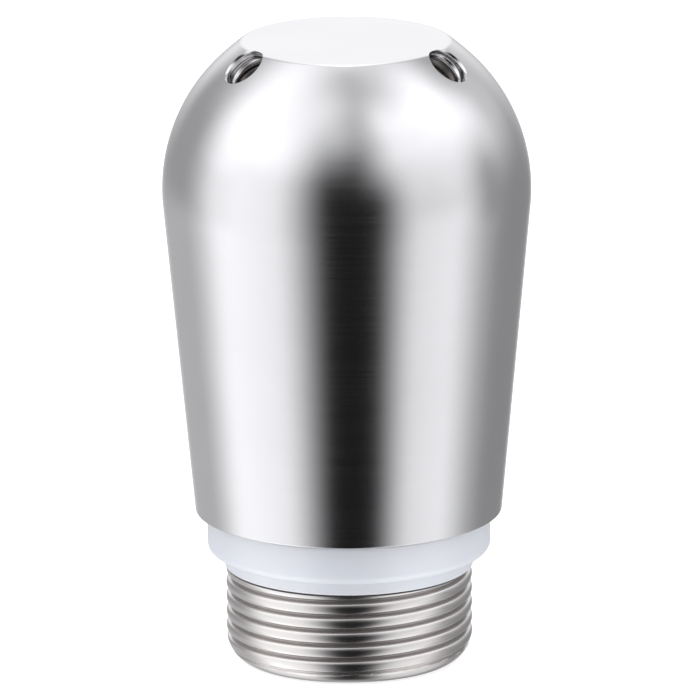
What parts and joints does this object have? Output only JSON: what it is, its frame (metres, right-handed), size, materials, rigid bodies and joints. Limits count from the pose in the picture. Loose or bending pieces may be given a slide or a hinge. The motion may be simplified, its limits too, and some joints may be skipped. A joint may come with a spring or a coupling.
{
  "type": "fire sprinkler head",
  "caption": "Bullet-shaped open sprinkler head that spins on a hollow threaded stem and sprays through skewed jets round its flat top.",
  "frame": {"origin": "on the spin axis at the inlet end face of the thread, the lowest face of the part", "axes": "+Z along the spin axis from the inlet end to the flat top; -Y is the front, half way between two of the three spray ports"},
  "size_m": [0.0492, 0.0492, 0.0846],
  "materials": {
    "shell_steel": "satin",
    "stem_nickel": "satin nickel, slightly warm",
    "ring_plastic": "milky, slightly translucent",
    "bearing_steel": "ground and polished",
    "cage_nylon": "moulded",
    "gland_bronze": "turned bronze",
    "seal_rubber": "matte"
  },
  "bodies": {
    "stem": {"threaded_adaptor": "stem_nickel", "wear_ring": "ring_plastic", "spindle": "shell_steel", "spindle_o_ring": "seal_rubber", "inlet_strainer": "bearing_steel", "strainer_snap_ring": "bearing_steel", "lower_bearing_inner_ring": "bearing_steel", "upper_bearing_inner_ring": "bearing_steel", "inner_spacer_sleeve": "bearing_steel", "lock_washer": "bearing_steel", "lock_nut": "bearing_steel"},
    "rotor_head": {"head_shell": "shell_steel", "gland_ring": "gland_bronze", "gland_o_ring": "seal_rubber", "rotary_lip_seal": "seal_rubber", "seal_garter_spring": "bearing_steel", "lower_bearing_outer_ring": "bearing_steel", "upper_bearing_outer_ring": "bearing_steel", "outer_spacer_sleeve": "bearing_steel", "preload_wave_washer": "bearing_steel", "jet_insert_1": "stem_nickel", "jet_insert_2": "stem_nickel", "jet_insert_3": "stem_nickel", "jet_o_ring_1": "seal_rubber", "jet_o_ring_2": "seal_rubber", "jet_o_ring_3": "seal_rubber"},
    "lower_ball_train": {"lower_bearing_cage": "cage_nylon", "lower_bearing_ball_01": "bearing_steel", "lower_bearing_ball_02": "bearing_steel", "lower_bearing_ball_03": "bearing_steel", "lower_bearing_ball_04": "bearing_steel", "lower_bearing_ball_05": "bearing_steel", "lower_bearing_ball_06": "bearing_steel", "lower_bearing_ball_07": "bearing_steel", "lower_bearing_ball_08": "bearing_steel", "lower_bearing_ball_09": "bearing_steel", "lower_bearing_ball_10": "bearing_steel", "lower_bearing_ball_11": "bearing_steel"},
    "upper_ball_train": {"upper_bearing_cage": "cage_nylon", "upper_bearing_ball_01": "bearing_steel", "upper_bearing_ball_02": "bearing_steel", "upper_bearing_ball_03": "bearing_steel", "upper_bearing_ball_04": "bearing_steel", "upper_bearing_ball_05": "bearing_steel", "upper_bearing_ball_06": "bearing_steel", "upper_bearing_ball_07": "bearing_steel", "upper_bearing_ball_08": "bearing_steel", "upper_bearing_ball_09": "bearing_steel", "upper_bearing_ball_10": "bearing_steel", "upper_bearing_ball_11": "bearing_steel"}
  },
  "joints": [
    {"name": "head_spin", "type": "hinge", "parent": "stem", "child": "rotor_head", "pos_m": [0, 0, 0.055], "axis": [0, 0, 1], "continuous": true},
    {"name": "lower_ball_train_spin", "type": "hinge", "parent": "stem", "child": "lower_ball_train", "pos_m": [0, 0, 0.033], "axis": [0, 0, 1], "continuous": true},
    {"name": "upper_ball_train_spin", "type": "hinge", "parent": "stem", "child": "upper_ball_train", "pos_m": [0, 0, 0.055], "axis": [0, 0, 1], "continuous": true}
  ],
  "couplings": [
    {"joint": "lower_ball_train_spin", "follows": "head_spin", "ratio": 0.5673},
    {"joint": "upper_ball_train_spin", "follows": "head_spin", "ratio": 0.5673}
  ]
}
